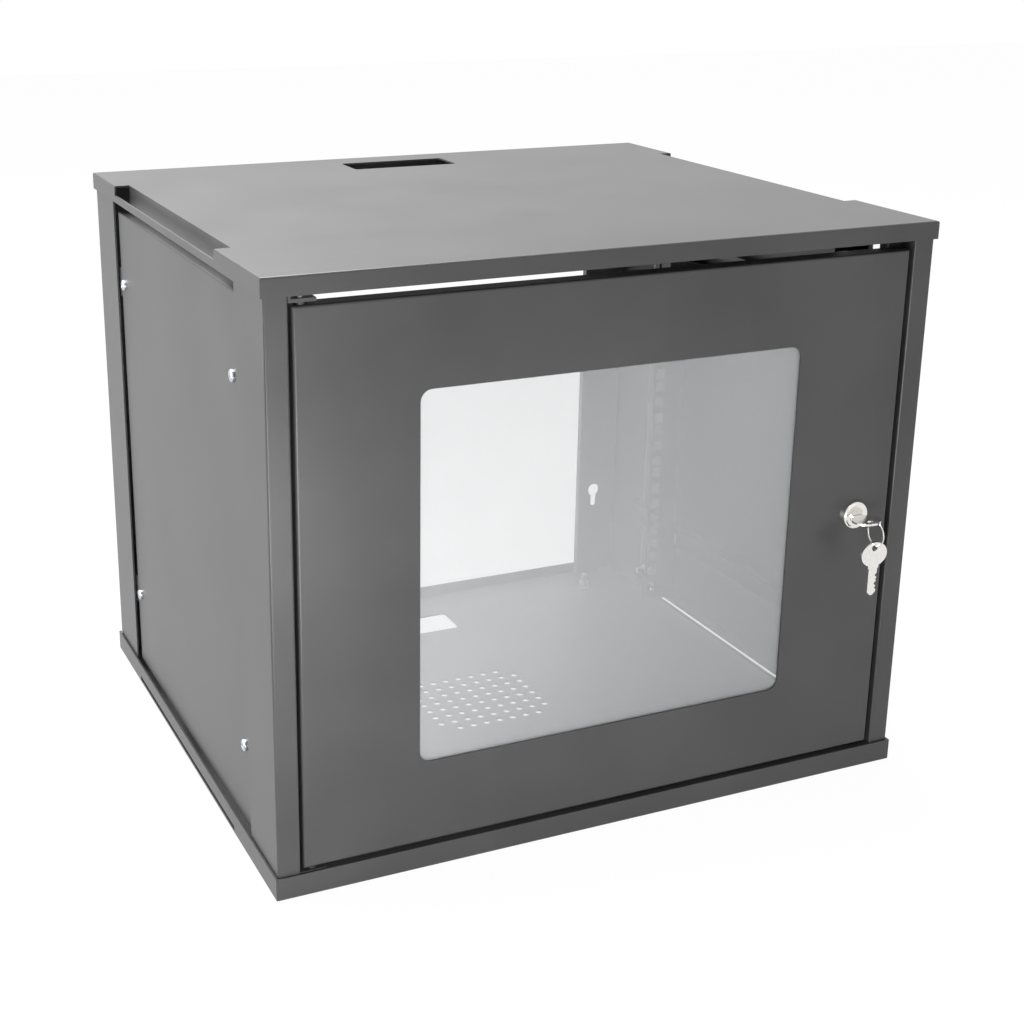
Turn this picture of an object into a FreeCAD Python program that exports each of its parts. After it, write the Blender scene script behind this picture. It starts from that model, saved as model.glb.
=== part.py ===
import FreeCAD, Part
import math
import os
from FreeCAD import Vector

# Wall mount network cabinet, nine rack units, with a windowed door hung on the left.
# Millimetres. Origin at the middle of the base, +Y towards the wall, +Z up.
os.makedirs("parts", exist_ok=True)

# ---- driving dimensions -------------------------------------------------
RACK_HOLE_SPAN = 465.1   # between the two columns of holes
SIDE_ROOM = 42.45        # a column of rack holes, in from the cabinet's side
WIDTH = RACK_HOLE_SPAN + 2 * SIDE_ROOM       # over the trays
DEPTH = 480.0
HEIGHT = 465.0
SHEET = 1.5              # folded steel sheet
BEND = 1.6               # outside radius of a folded edge
DOOR_BEND = 2.2          # the door's, round its face
TRAY_GAP = 0.5           # between a tray's flange and the posts inside it

TOP_FLANGE = 14.0        # height of the top tray's flanges
BASE_FLANGE = 18.5
BASE_REAR_FLANGE = 12.0
BASE_LIP = 14.0          # front flange's return under the door, back from the face
BASE_LIP_GAP = 1.0       # beside the hinge bracket, and beside the lock post

POST_LEG = 63.0          # side face of each post
POST_FACE = 17.8         # front face of each front post
HINGE_RETURN = 16.5      # how far the post's inner leg goes back
LOCK_RETURN = 17.0
LOCK_LIP = 12.0          # rebate lip that the door closes against
REAR_FACE = 48.0
REAR_RETURN = 8.0

PANEL_RECESS = 4.6       # side panel's face, in from the trays' edges
PANEL_END_GAP = 7.0      # open gap between panel and post
PANEL_BOTTOM = 19.0
PANEL_TOP_GAP = 24.0     # from the cabinet's top
PANEL_HEM = 9.0
PANEL_SCREW_INSET = 9.5

BAR_HEIGHT = 25.0
BAR_LOW = 88.0           # height of the lower side bars' centre
BAR_HIGH_DROP = 86.5     # upper side bars' centre, below the top
BAR_DEPTH = 10.9
BAR_LIP = 7.0
BAR_END_GAP = 2.0
BAR_FOOT = 26.0
BAR_JOGGLE = 5.0

RACK_UNIT = 44.45
UNITS = 9
RACK_HOLE_EDGE = 7.55    # column of holes to the rail's inner edge
RACK_HOLE = 9.5
RACK_HOLE_HEIGHTS = (6.35, 22.225, 38.1)
RAIL_LEG = 28.0
RAIL_END = 8.5           # rail beyond the rack units at each end
FRONT_RAIL_Y = 62.0      # rail faces, back from the cabinet's front
REAR_RAIL_Y = 328.0
RAIL_BOLT_BACK = 16.0

DOOR_GAP_HINGE = 2.4
DOOR_GAP_LOCK = 4.2
DOOR_GAP_TOP = 7.3
DOOR_GAP_BOTTOM = 2.8
DOOR_DEPTH = 15.0
DOOR_LIP = 12.0
WINDOW_WIDTH = 316.0
WINDOW_HEIGHT = 288.0
WINDOW_RADIUS = 9.0
WINDOW_SHIFT = 1.6       # window's middle, from the door's towards the hinge
PANE_THICK = 3.0
PANE_LAP = 20.0
STUD_DIA = 4.0
STUD_LENGTH = 8.0
STUD_OUT_TOP = 12.7      # stud rows, outside the window's edge
STUD_OUT_SIDE = 9.5
STUD_PITCH_X = 124.0
STUD_PITCH_Z = 107.0
PANE_HOLE_CLEAR = 0.3

PIN_DIA = 6.0
PIN_CLEAR = 0.05         # running clearance, on the radius
PIN_IN = 7.5             # pin's axis, in from the door's edge
PIN_BACK = 6.5           # and back from its face
PIN_HEAD = 2.0
PIN_STAND = 4.0          # bottom pin, above the door's lower skin
PIN_PROUD = 1.0          # top pin, above its bracket
PIN_HEAD_DIA = 9.0
HINGE_TAB = 2.5
HINGE_TAB_REACH = 20.0
HINGE_TAB_WIDTH = 14.0
HINGE_LEG = 2.0
HINGE_LEG_HEIGHT = 15.0
HINGE_WASHER = 2.0
HINGE_WASHER_DIA = 9.0
SEAT_GAP = 0.3           # between faces that slide past each other

LOCK_BACKSET = 33.0
LOCK_DROP = 1.2          # lock, below the door's middle
LOCK_BEZEL_DIA = 23.0
LOCK_BEZEL = 4.5
LOCK_BARREL_DIA = 18.8
LOCK_FLATS = 16.0
LOCK_HOLE_CLEAR = 0.1
LOCK_NUT = 5.0
LOCK_NUT_FLATS = 24.0
PLUG_DIA = 12.5
PLUG_CLEAR = 0.05
PLUG_PROUD = 0.5
CAM_GAP = 1.0            # cam, behind the rebate lip
CAM_THICK = 2.5
CAM_WIDTH = 16.0
CAM_REACH = 32.0
CAM_SQUARE = 8.0

KEY_THICK = 1.7
KEY_BLADE = 8.0
KEY_BLADE_LENGTH = 22.8
KEYWAY_CLEAR = 0.2
KEY_BOW_WIDTH = 24.4
KEY_BOW_LENGTH = 20.4
KEY_SHOULDER = 1.6
KEY_SHOULDER_WIDTH = 10.0
KEY_EYE_DIA = 5.5
KEY_EYE_INSET = 4.6
KEY_SEAT_GAP = 0.15
KEY_CUTS = ((6.0, 1.6), (9.6, 2.4), (13.2, 1.2), (16.8, 2.0))  # from the tip, depth
RING_RADIUS = 9.7        # of the wire's centre line
RING_WIRE = 1.6
RING_LEAN = 45.0         # degrees between the ring's middle and level, seen at the eye
RING_SLACK = 0.1

CABLE_SLOT_X = 100.0
CABLE_SLOT_Y = 38.0
CABLE_SLOT_RADIUS = 3.0
TOP_SLOT_BACK = 50.5     # slot's centre from the rear edge
BASE_SLOT_BACK = 68.0
VENT_LENGTH = 294.0      # slots along the trays' side edges
VENT_START = 104.0       # from the front edge
VENT_IN = 12.7
VENT_DROP = 8.0          # how far the slot cuts down the top tray's flange
VENT_LIP = 20.0          # wall folded down along its inner side
BASE_VENT_HEIGHT = 3.5
BASE_VENT_RISE = 3.0
FAN_HOLE = 6.5
FAN_PITCH = 12.9
FAN_COLUMNS = 9
FAN_ROWS = 8

KEYHOLE_DIA = 13.0
KEYHOLE_SLOT = 6.3
KEYHOLE_DROP = 15.0
KEYHOLE_LOW = 94.4       # round end's height, and the same below the top
KEYHOLE_SIDE = 28.9      # from the trays' side edge

SCREW_DIA = 5.0
SCREW_HEAD_DIA = 9.5
SCREW_HEAD = 2.8
SCREW_LENGTH = 5.8
SCREW_HOLE_CLEAR = 0.25
BOLT_DIA = 6.0
BOLT_HEAD_DIA = 12.0
BOLT_HEAD = 3.5
BOLT_NUT = 4.5
BOLT_NUT_SIDE = 16.0
NUT_FLATS = 10.0
NUT_THICK = 5.0
WASHER_THICK = 1.2
WASHER_DIA = 12.0
PANE_NUT_FLATS = 7.0
PANE_NUT_THICK = 3.2
PANE_WASHER_DIA = 9.0
PANE_WASHER = 0.8
EARTH_STUD_LENGTH = 15.0
BASE_EARTH_X = 60.0      # from the right edge
BASE_EARTH_BACK = 45.0
PANEL_EARTH_UP = 12.0
PANEL_EARTH_IN = 17.0
BUFFER_DIA = 8.0
BUFFER_FROM_END = 40.0

# ---- places worked out from them ----------------------------------------
LEFT, RIGHT = -WIDTH / 2, WIDTH / 2
FRONT, BACK = -DEPTH / 2, DEPTH / 2
INSET = SHEET + TRAY_GAP                     # posts, in from the trays' edges
POST_FRONT = FRONT + INSET
OPEN_LEFT = LEFT + INSET + POST_FACE
OPEN_RIGHT = RIGHT - INSET - POST_FACE
LEG_END = INSET + POST_LEG                   # from the front or the rear edge
DOOR_LEFT = OPEN_LEFT + DOOR_GAP_HINGE
DOOR_RIGHT = OPEN_RIGHT - DOOR_GAP_LOCK
DOOR_BOTTOM = BASE_FLANGE + DOOR_GAP_BOTTOM
DOOR_TOP = HEIGHT - TOP_FLANGE - DOOR_GAP_TOP
DOOR_BACK = POST_FRONT + DOOR_DEPTH
WINDOW_X = (DOOR_LEFT + DOOR_RIGHT) / 2 - WINDOW_SHIFT
DOOR_Z = (DOOR_BOTTOM + DOOR_TOP) / 2
SKIN_BACK = POST_FRONT + SHEET
PIN_X, PIN_Y = DOOR_LEFT + PIN_IN, POST_FRONT + PIN_BACK
LOCK_X, LOCK_Z = DOOR_RIGHT - LOCK_BACKSET, DOOR_Z - LOCK_DROP
LIP_FRONT = POST_FRONT + LOCK_RETURN
CAM_FRONT = LIP_FRONT + SHEET + CAM_GAP
PLUG_FACE = POST_FRONT - LOCK_BEZEL - PLUG_PROUD
BLADE_FACE = PLUG_FACE - KEY_SEAT_GAP
BOW_END = BLADE_FACE - KEY_SHOULDER - KEY_BOW_LENGTH
EYE_Y = BOW_END + KEY_EYE_INSET
RING_Y = EYE_Y - RING_RADIUS * math.cos(math.radians(RING_LEAN))
RING_Z = LOCK_Z - RING_RADIUS * math.sin(math.radians(RING_LEAN))
SPARE_EYE_Z = RING_Z - RING_RADIUS + RING_WIRE / 2 - KEY_EYE_DIA / 2 + RING_SLACK
PANEL_OUT = LEFT + PANEL_RECESS              # left panel's outer face
PANEL_IN = PANEL_OUT + SHEET
PANEL_FRONT = FRONT + LEG_END + PANEL_END_GAP
PANEL_BACK = BACK - LEG_END - PANEL_END_GAP
PANEL_TOP = HEIGHT - PANEL_TOP_GAP
BAR_IN = PANEL_IN + BAR_DEPTH                # bar's inner face, where the rails sit
BAR_HEIGHTS = (BAR_LOW, HEIGHT - BAR_HIGH_DROP)
RAIL_LENGTH = UNITS * RACK_UNIT + 2 * RAIL_END
RAIL_BOTTOM = (BASE_FLANGE + HEIGHT - TOP_FLANGE - RAIL_LENGTH) / 2


# ---- shape helpers ------------------------------------------------------
def box(x0, x1, y0, y1, z0, z1):
    return Part.makeBox(x1 - x0, y1 - y0, z1 - z0, Vector(x0, y0, z0))


def rod(x, y, z, direction, radius, length):
    return Part.makeCylinder(radius, length, Vector(x, y, z), Vector(*direction))


def hexagon(x, y, z, direction, flats, length):
    """A hexagonal prism that starts at a point and runs along a direction."""
    axis = Vector(*direction)
    across = Vector(1, 0, 0) if abs(axis.x) < 0.5 else Vector(0, 0, 1)
    other = axis.cross(across)
    reach = flats / math.sqrt(3)
    corners = []
    for k in range(7):
        turn = math.radians(60 * k)
        corners.append(Vector(x, y, z) + across * reach * math.cos(turn) + other * reach * math.sin(turn))
    return Part.Face(Part.makePolygon(corners)).extrude(axis * length)


def folded(path, side, z0, z1):
    """Sheet that follows a path seen from above, with its thickness on one side of it."""
    points = [Vector(x, y, 0) for x, y in path]
    normals = []
    for a, b in zip(points, points[1:]):
        run = (b - a).normalize()
        normals.append(Vector(-run.y * side, run.x * side, 0))
    inner = [points[0] + normals[0] * SHEET]
    for point, n, m in zip(points[1:], normals, normals[1:]):
        inner.append(point + (n + m) * (SHEET / (1 + n.dot(m))))
    inner.append(points[-1] + normals[-1] * SHEET)
    outline = points + inner[::-1] + [points[0]]
    solid = Part.Face(Part.makePolygon(outline)).extrude(Vector(0, 0, z1 - z0))
    solid.translate(Vector(0, 0, z0))
    return solid


def upright_edges(solid, x, y):
    found = []
    for edge in solid.Edges:
        ends = [v.Point for v in edge.Vertexes]
        if len(ends) == 2 and all(abs(p.x - x) < 0.01 and abs(p.y - y) < 0.01 for p in ends):
            found.append(edge)
    return found


def level_edges(solid, z):
    return [e for e in solid.Edges if all(abs(v.Point.z - z) < 0.01 for v in e.Vertexes)]


def slot_prism(x, y, length, width, radius, z0, z1):
    """A round-cornered rectangle, seen from above, made a prism."""
    block = box(x - length / 2, x + length / 2, y - width / 2, y + width / 2, z0, z1)
    corners = [e for e in block.Edges if abs(e.Vertexes[0].Point.z - e.Vertexes[1].Point.z) > 0.01]
    return block.makeFillet(radius, corners)


def mirrored(shape):
    return shape.mirror(Vector(0, 0, 0), Vector(1, 0, 0))


def save(name, shapes):
    """Write one node. A list of pieces becomes a group of separate solids."""
    if not isinstance(shapes, list):
        shapes = [shapes]
    solids = [s for shape in shapes for s in shape.Solids]
    whole = solids[0] if len(solids) == 1 else Part.makeCompound(solids)
    whole.exportStep("parts/" + name + ".step")


# ---- trays --------------------------------------------------------------
def tray(flange):
    """Open box of folded sheet, plate at the bottom, in the base's place."""
    outer = box(LEFT, RIGHT, FRONT, BACK, 0, flange)
    outer = outer.makeFillet(BEND, level_edges(outer, 0))
    return outer.cut(box(LEFT + SHEET, RIGHT - SHEET, FRONT + SHEET, BACK - SHEET, SHEET, flange))


def fan_holes():
    holes = []
    for row in range(FAN_ROWS):
        for column in range(FAN_COLUMNS):
            if row in (0, FAN_ROWS - 1) and column in (0, FAN_COLUMNS - 1):
                continue
            x = (column - (FAN_COLUMNS - 1) / 2) * FAN_PITCH
            y = (row - (FAN_ROWS - 1) / 2) * FAN_PITCH
            holes.append(rod(x, y, -1, (0, 0, 1), FAN_HOLE / 2, SHEET + 2))
    return holes


def base_tray():
    shape = tray(BASE_FLANGE)
    rear = box(LEFT + INSET, RIGHT - INSET, BACK - SHEET - 1, BACK + 1, BASE_REAR_FLANGE, BASE_FLANGE + 1)
    slot = slot_prism(0, BACK - BASE_SLOT_BACK, CABLE_SLOT_X, CABLE_SLOT_Y, CABLE_SLOT_RADIUS, -1, SHEET + 1)
    vent = box(LEFT - 1, RIGHT + 1, FRONT + VENT_START, FRONT + VENT_START + VENT_LENGTH,
               BASE_VENT_RISE, BASE_VENT_RISE + BASE_VENT_HEIGHT)
    lip = box(OPEN_LEFT + HINGE_TAB_REACH + BASE_LIP_GAP, OPEN_RIGHT - BASE_LIP_GAP, FRONT + SHEET / 2,
              FRONT + BASE_LIP, BASE_FLANGE - SHEET, BASE_FLANGE)
    return shape.cut(Part.makeCompound([rear, slot, vent] + fan_holes())).fuse(lip).removeSplitter()


def top_tray():
    """The same kind of tray turned over, its side edges notched and lipped as air slots."""
    shape = tray(TOP_FLANGE).mirror(Vector(0, 0, 0), Vector(0, 0, 1))
    shape.translate(Vector(0, 0, HEIGHT))
    slot = slot_prism(0, BACK - TOP_SLOT_BACK, CABLE_SLOT_X, CABLE_SLOT_Y, CABLE_SLOT_RADIUS,
                      HEIGHT - SHEET - 1, HEIGHT + 1)
    y0 = FRONT + VENT_START
    notch = box(LEFT - 1, LEFT + VENT_IN, y0, y0 + VENT_LENGTH, HEIGHT - VENT_DROP, HEIGHT + 1)
    lip = box(LEFT + VENT_IN, LEFT + VENT_IN + SHEET, y0, y0 + VENT_LENGTH,
              HEIGHT - VENT_LIP, HEIGHT - SHEET)
    shape = shape.cut(Part.makeCompound([slot, notch, mirrored(notch)]))
    return shape.fuse([lip, mirrored(lip)]).removeSplitter()


# ---- posts --------------------------------------------------------------
def front_post(inner_return, lip):
    """Left-hand front post; the lock side's one is mirrored and has a rebate lip."""
    x, y = LEFT + INSET, POST_FRONT
    path = [(x, FRONT + LEG_END), (x, y), (x + POST_FACE, y), (x + POST_FACE, y + inner_return)]
    if lip:
        path.append((x + POST_FACE + lip, y + inner_return))
    post = folded(path, 1, SHEET, HEIGHT - SHEET)
    return post.makeFillet(BEND, upright_edges(post, x, y) + upright_edges(post, x + POST_FACE, y))


def keyhole(z, way):
    """Wall keyhole on the left rear post: a round end and a narrow slot up or down."""
    x, y = LEFT + KEYHOLE_SIDE, BACK - INSET - SHEET - 1
    depth = SHEET + 2
    end = z + way * KEYHOLE_DROP
    big = rod(x, y, z, (0, 1, 0), KEYHOLE_DIA / 2, depth)
    small = rod(x, y, end, (0, 1, 0), KEYHOLE_SLOT / 2, depth)
    neck = box(x - KEYHOLE_SLOT / 2, x + KEYHOLE_SLOT / 2, y, y + depth, min(z, end), max(z, end))
    return big.fuse([small, neck])


def rear_post():
    x, y = LEFT + INSET, BACK - INSET
    path = [(x, BACK - LEG_END), (x, y), (x + REAR_FACE, y), (x + REAR_FACE, y - REAR_RETURN)]
    post = folded(path, -1, SHEET, HEIGHT - SHEET)
    post = post.makeFillet(BEND, upright_edges(post, x, y) + upright_edges(post, x + REAR_FACE, y))
    return post.cut([keyhole(KEYHOLE_LOW, -1), keyhole(HEIGHT - KEYHOLE_LOW, 1)])


# ---- side panels and the bars behind them -------------------------------
def panel_screw_places():
    return [(y, z) for y in (PANEL_FRONT + PANEL_SCREW_INSET, PANEL_BACK - PANEL_SCREW_INSET)
            for z in BAR_HEIGHTS]


def side_panel():
    shape = box(PANEL_OUT, PANEL_IN + PANEL_HEM, PANEL_FRONT, PANEL_BACK, PANEL_BOTTOM, PANEL_TOP)
    bends = []
    for edge in shape.Edges:
        ends = [v.Point for v in edge.Vertexes]
        if all(abs(p.x - PANEL_OUT) < 0.01 for p in ends) and abs(ends[0].z - ends[1].z) < 0.01:
            bends.append(edge)
    shape = shape.makeFillet(BEND, bends)
    inside = box(PANEL_IN, PANEL_IN + PANEL_HEM + 1, PANEL_FRONT - 1, PANEL_BACK + 1,
                 PANEL_BOTTOM + SHEET, PANEL_TOP - SHEET)
    holes = [rod(PANEL_OUT - 1, y, z, (1, 0, 0), SCREW_DIA / 2 + SCREW_HOLE_CLEAR, SHEET + 2)
             for y, z in panel_screw_places()]
    return shape.cut(Part.makeCompound([inside] + holes))


def panel_screws():
    screws = []
    for y, z in panel_screw_places():
        head = rod(PANEL_OUT, y, z, (-1, 0, 0), SCREW_HEAD_DIA / 2, SCREW_HEAD)
        rim = [e for e in head.Edges if abs(e.BoundBox.XMin - (PANEL_OUT - SCREW_HEAD)) < 0.01
               and e.BoundBox.XLength < 0.01]
        head = head.makeFillet(SCREW_HEAD / 2, rim)
        screws.append(head.fuse(rod(PANEL_OUT, y, z, (1, 0, 0), SCREW_DIA / 2, SCREW_LENGTH)).removeSplitter())
    return screws


def side_bar(z):
    """Lipped channel from post to post; its ends step out on to the posts' side legs."""
    z0, z1 = z - BAR_HEIGHT / 2, z + BAR_HEIGHT / 2
    leg_in = LEFT + INSET + SHEET
    y0, y1 = FRONT + LEG_END + BAR_END_GAP, BACK - LEG_END - BAR_END_GAP
    path = [(leg_in, y0 - BAR_JOGGLE - BAR_FOOT), (leg_in, y0 - BAR_JOGGLE), (PANEL_IN, y0),
            (PANEL_IN, y1), (leg_in, y1 + BAR_JOGGLE), (leg_in, y1 + BAR_JOGGLE + BAR_FOOT)]
    web = folded(path, -1, z0, z1)
    channel = box(PANEL_IN, BAR_IN, y0, y1, z0, z1)
    hollow = box(PANEL_IN + SHEET, BAR_IN - SHEET, y0 - 1, y1 + 1, z0 + SHEET, z1 - SHEET)
    mouth = box(BAR_IN - SHEET - 1, BAR_IN + 1, y0 - 1, y1 + 1, z0 + BAR_LIP, z1 - BAR_LIP)
    holes = [rod(PANEL_IN - 1, y, z, (1, 0, 0), SCREW_DIA / 2, SHEET + 2)
             for y, _ in panel_screw_places()]
    return web.fuse(channel.cut([hollow, mouth])).removeSplitter().cut(holes)


# ---- rack rails ---------------------------------------------------------
def rail(face_y):
    """Left-hand 19 inch rail: a flange with square holes and a leg against the side bars."""
    inner = -RACK_HOLE_SPAN / 2 + RACK_HOLE_EDGE
    y = FRONT + face_y
    z1 = RAIL_BOTTOM + RAIL_LENGTH
    shape = folded([(inner, y), (BAR_IN, y), (BAR_IN, y + RAIL_LEG)], -1, RAIL_BOTTOM, z1)
    cuts = []
    hole_x = -RACK_HOLE_SPAN / 2
    for unit in range(UNITS):
        for rise in RACK_HOLE_HEIGHTS:
            z = RAIL_BOTTOM + RAIL_END + unit * RACK_UNIT + rise
            cuts.append(box(hole_x - RACK_HOLE / 2, hole_x + RACK_HOLE / 2, y - 1, y + SHEET + 1,
                            z - RACK_HOLE / 2, z + RACK_HOLE / 2))
    for z in BAR_HEIGHTS:
        cuts.append(rod(BAR_IN - 1, y + RAIL_BOLT_BACK, z, (1, 0, 0), BOLT_DIA / 2, SHEET + 2))
    return shape.cut(Part.makeCompound(cuts))


def rail_bolts():
    """Bolts through the rails' legs into square nuts behind the bars' lips, left side."""
    bolts, nuts = [], []
    for face_y in (FRONT_RAIL_Y, REAR_RAIL_Y):
        y = FRONT + face_y + RAIL_BOLT_BACK
        for z in BAR_HEIGHTS:
            seat = BAR_IN + SHEET
            nut_face = BAR_IN - SHEET
            head = rod(seat, y, z, (1, 0, 0), BOLT_HEAD_DIA / 2, BOLT_HEAD)
            shank = rod(nut_face - BOLT_NUT, y, z, (1, 0, 0), BOLT_DIA / 2, seat - nut_face + BOLT_NUT)
            bolts.append(head.fuse(shank).removeSplitter())
            half = BOLT_NUT_SIDE / 2
            block = box(nut_face - BOLT_NUT, nut_face, y - half, y + half, z - half, z + half)
            nuts.append(block.cut(shank))
    return bolts, nuts


# ---- door ---------------------------------------------------------------
def window_prism(margin, y0, y1, radius):
    half_x, half_z = WINDOW_WIDTH / 2 + margin, WINDOW_HEIGHT / 2 + margin
    block = box(WINDOW_X - half_x, WINDOW_X + half_x, y0, y1, DOOR_Z - half_z, DOOR_Z + half_z)
    corners = [e for e in block.Edges if abs(e.Vertexes[0].Point.y - e.Vertexes[1].Point.y) > 0.01]
    return block.makeFillet(radius, corners)


def stud_places():
    """Welded studs round the window: a row above and below, and one down each side."""
    out_z, out_x = WINDOW_HEIGHT / 2 + STUD_OUT_TOP, WINDOW_WIDTH / 2 + STUD_OUT_SIDE
    rows = [(k * STUD_PITCH_X, s * out_z) for k in (-1, 0, 1) for s in (-1, 1)]
    sides = [(s * out_x, k * STUD_PITCH_Z) for k in (-1, 0, 1) for s in (-1, 1)]
    return [(WINDOW_X + dx, DOOR_Z + dz) for dx, dz in rows + sides]


def double_d(radius, flats, y0, y1):
    """Round bar with two level flats, on the lock's axis."""
    bar = rod(LOCK_X, y0, LOCK_Z, (0, 1, 0), radius, y1 - y0)
    return bar.common(box(LOCK_X - radius, LOCK_X + radius, y0, y1, LOCK_Z - flats / 2, LOCK_Z + flats / 2))


def door_shell():
    outer = box(DOOR_LEFT, DOOR_RIGHT, POST_FRONT, DOOR_BACK, DOOR_BOTTOM, DOOR_TOP)
    face = [e for e in outer.Edges if all(abs(v.Point.y - POST_FRONT) < 0.01 for v in e.Vertexes)]
    outer = outer.makeFillet(DOOR_BEND, face)
    hollow = box(DOOR_LEFT + SHEET, DOOR_RIGHT - SHEET, SKIN_BACK, DOOR_BACK - SHEET,
                 DOOR_BOTTOM + SHEET, DOOR_TOP - SHEET)
    mouth = box(DOOR_LEFT + DOOR_LIP, DOOR_RIGHT - DOOR_LIP, DOOR_BACK - SHEET - 1, DOOR_BACK + 1,
                DOOR_BOTTOM + DOOR_LIP, DOOR_TOP - DOOR_LIP)
    window = window_prism(0, POST_FRONT - 1, SKIN_BACK + 1, WINDOW_RADIUS)
    lock = double_d(LOCK_BARREL_DIA / 2 + LOCK_HOLE_CLEAR, LOCK_FLATS + 2 * LOCK_HOLE_CLEAR,
                    POST_FRONT - 1, SKIN_BACK + 1)
    low_pin = rod(PIN_X, PIN_Y, DOOR_BOTTOM - 1, (0, 0, 1), PIN_DIA / 2 + PIN_CLEAR, SHEET + 2)
    top_pin = rod(PIN_X, PIN_Y, DOOR_TOP - SHEET - 1, (0, 0, 1), PIN_DIA / 2, SHEET + 2)
    return outer.cut([hollow, mouth, window, lock, low_pin, top_pin])


def window_pane():
    pane = window_prism(PANE_LAP, SKIN_BACK, SKIN_BACK + PANE_THICK, WINDOW_RADIUS)
    holes = [rod(x, SKIN_BACK - 1, z, (0, 1, 0), STUD_DIA / 2 + PANE_HOLE_CLEAR, PANE_THICK + 2)
             for x, z in stud_places()]
    return pane.cut(Part.makeCompound(holes))


def pane_fixings():
    studs, nuts = [], []
    for x, z in stud_places():
        stud = rod(x, SKIN_BACK, z, (0, 1, 0), STUD_DIA / 2, STUD_LENGTH)
        washer = rod(x, SKIN_BACK + PANE_THICK, z, (0, 1, 0), PANE_WASHER_DIA / 2, PANE_WASHER)
        nut = hexagon(x, SKIN_BACK + PANE_THICK + PANE_WASHER, z, (0, 1, 0), PANE_NUT_FLATS, PANE_NUT_THICK)
        studs.append(stud)
        nuts.append(washer.fuse(nut).cut(stud))
    return studs, nuts


# ---- hinges -------------------------------------------------------------
def hinge_bracket(z_tab, leg_up):
    """Angle on the hinge post's inner leg; its level tab takes the door's pin."""
    x, y0 = OPEN_LEFT, PIN_Y - HINGE_TAB_WIDTH / 2 + 1
    y1 = POST_FRONT + HINGE_RETURN
    tab = box(x, x + HINGE_TAB_REACH, y0, y1, z_tab, z_tab + HINGE_TAB)
    z0 = z_tab if leg_up else z_tab + HINGE_TAB - HINGE_LEG_HEIGHT
    leg = box(x, x + HINGE_LEG, y0, y1, z0, z0 + HINGE_LEG_HEIGHT)
    radius = PIN_DIA / 2 + (PIN_CLEAR if leg_up else 0)
    hole = rod(PIN_X, PIN_Y, z_tab - 1, (0, 0, 1), radius, HINGE_TAB + 2)
    return tab.fuse(leg).removeSplitter().cut(hole)


TOP_TAB = DOOR_TOP + HINGE_WASHER + SEAT_GAP
LOW_TAB = DOOR_BOTTOM - SEAT_GAP - HINGE_WASHER - HINGE_TAB


def hinge_pin(z_head, length):
    head = rod(PIN_X, PIN_Y, z_head, (0, 0, 1), PIN_HEAD_DIA / 2, PIN_HEAD)
    return head.fuse(rod(PIN_X, PIN_Y, z_head, (0, 0, 1), PIN_DIA / 2, PIN_HEAD + length)).removeSplitter()


def hinge_washer(z):
    disc = rod(PIN_X, PIN_Y, z, (0, 0, 1), HINGE_WASHER_DIA / 2, HINGE_WASHER)
    return disc.cut(rod(PIN_X, PIN_Y, z - 1, (0, 0, 1), PIN_DIA / 2, HINGE_WASHER + 2))


# ---- lock, keys and ring ------------------------------------------------
def lock_housing():
    bezel = rod(LOCK_X, POST_FRONT, LOCK_Z, (0, -1, 0), LOCK_BEZEL_DIA / 2, LOCK_BEZEL)
    rim = [e for e in bezel.Edges if e.BoundBox.YLength < 0.01 and e.BoundBox.YMin < POST_FRONT - 1]
    bezel = bezel.makeFillet(LOCK_BEZEL / 2, rim)
    barrel = double_d(LOCK_BARREL_DIA / 2, LOCK_FLATS, POST_FRONT, CAM_FRONT - SEAT_GAP)
    bore = rod(LOCK_X, POST_FRONT - LOCK_BEZEL - 1, LOCK_Z, (0, 1, 0), PLUG_DIA / 2 + PLUG_CLEAR,
               CAM_FRONT - POST_FRONT + LOCK_BEZEL + 2)
    return bezel.fuse(barrel).removeSplitter().cut(bore)


def lock_nut():
    nut = hexagon(LOCK_X, SKIN_BACK, LOCK_Z, (0, 1, 0), LOCK_NUT_FLATS, LOCK_NUT)
    return nut.cut(double_d(LOCK_BARREL_DIA / 2, LOCK_FLATS, SKIN_BACK - 1, SKIN_BACK + LOCK_NUT + 1))


def square_drive(y0, y1, side):
    half = side / 2
    return box(LOCK_X - half, LOCK_X + half, y0, y1, LOCK_Z - half, LOCK_Z + half)


def lock_plug():
    body = rod(LOCK_X, PLUG_FACE, LOCK_Z, (0, 1, 0), PLUG_DIA / 2, CAM_FRONT - PLUG_FACE)
    body = body.fuse(square_drive(CAM_FRONT, CAM_FRONT + CAM_THICK, CAM_SQUARE)).removeSplitter()
    half_w, half_t = KEY_BLADE / 2 + KEYWAY_CLEAR, KEY_THICK / 2 + KEYWAY_CLEAR
    keyway = box(LOCK_X - half_w, LOCK_X + half_w, PLUG_FACE - 1, BLADE_FACE + KEY_BLADE_LENGTH + KEYWAY_CLEAR,
                 LOCK_Z - half_t, LOCK_Z + half_t)
    return body.cut(keyway)


def lock_cam():
    """Flat cam on the plug's square, hanging down when the door is free to open."""
    eye = rod(LOCK_X, CAM_FRONT, LOCK_Z, (0, 1, 0), CAM_WIDTH / 2, CAM_THICK)
    tip_z = LOCK_Z - CAM_REACH + CAM_WIDTH / 2
    arm = box(LOCK_X - CAM_WIDTH / 2, LOCK_X + CAM_WIDTH / 2, CAM_FRONT, CAM_FRONT + CAM_THICK, tip_z, LOCK_Z)
    tip = rod(LOCK_X, CAM_FRONT, tip_z, (0, 1, 0), CAM_WIDTH / 2, CAM_THICK)
    square = square_drive(CAM_FRONT - 1, CAM_FRONT + CAM_THICK + 1, CAM_SQUARE)
    return eye.fuse([arm, tip]).removeSplitter().cut(square)


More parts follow.
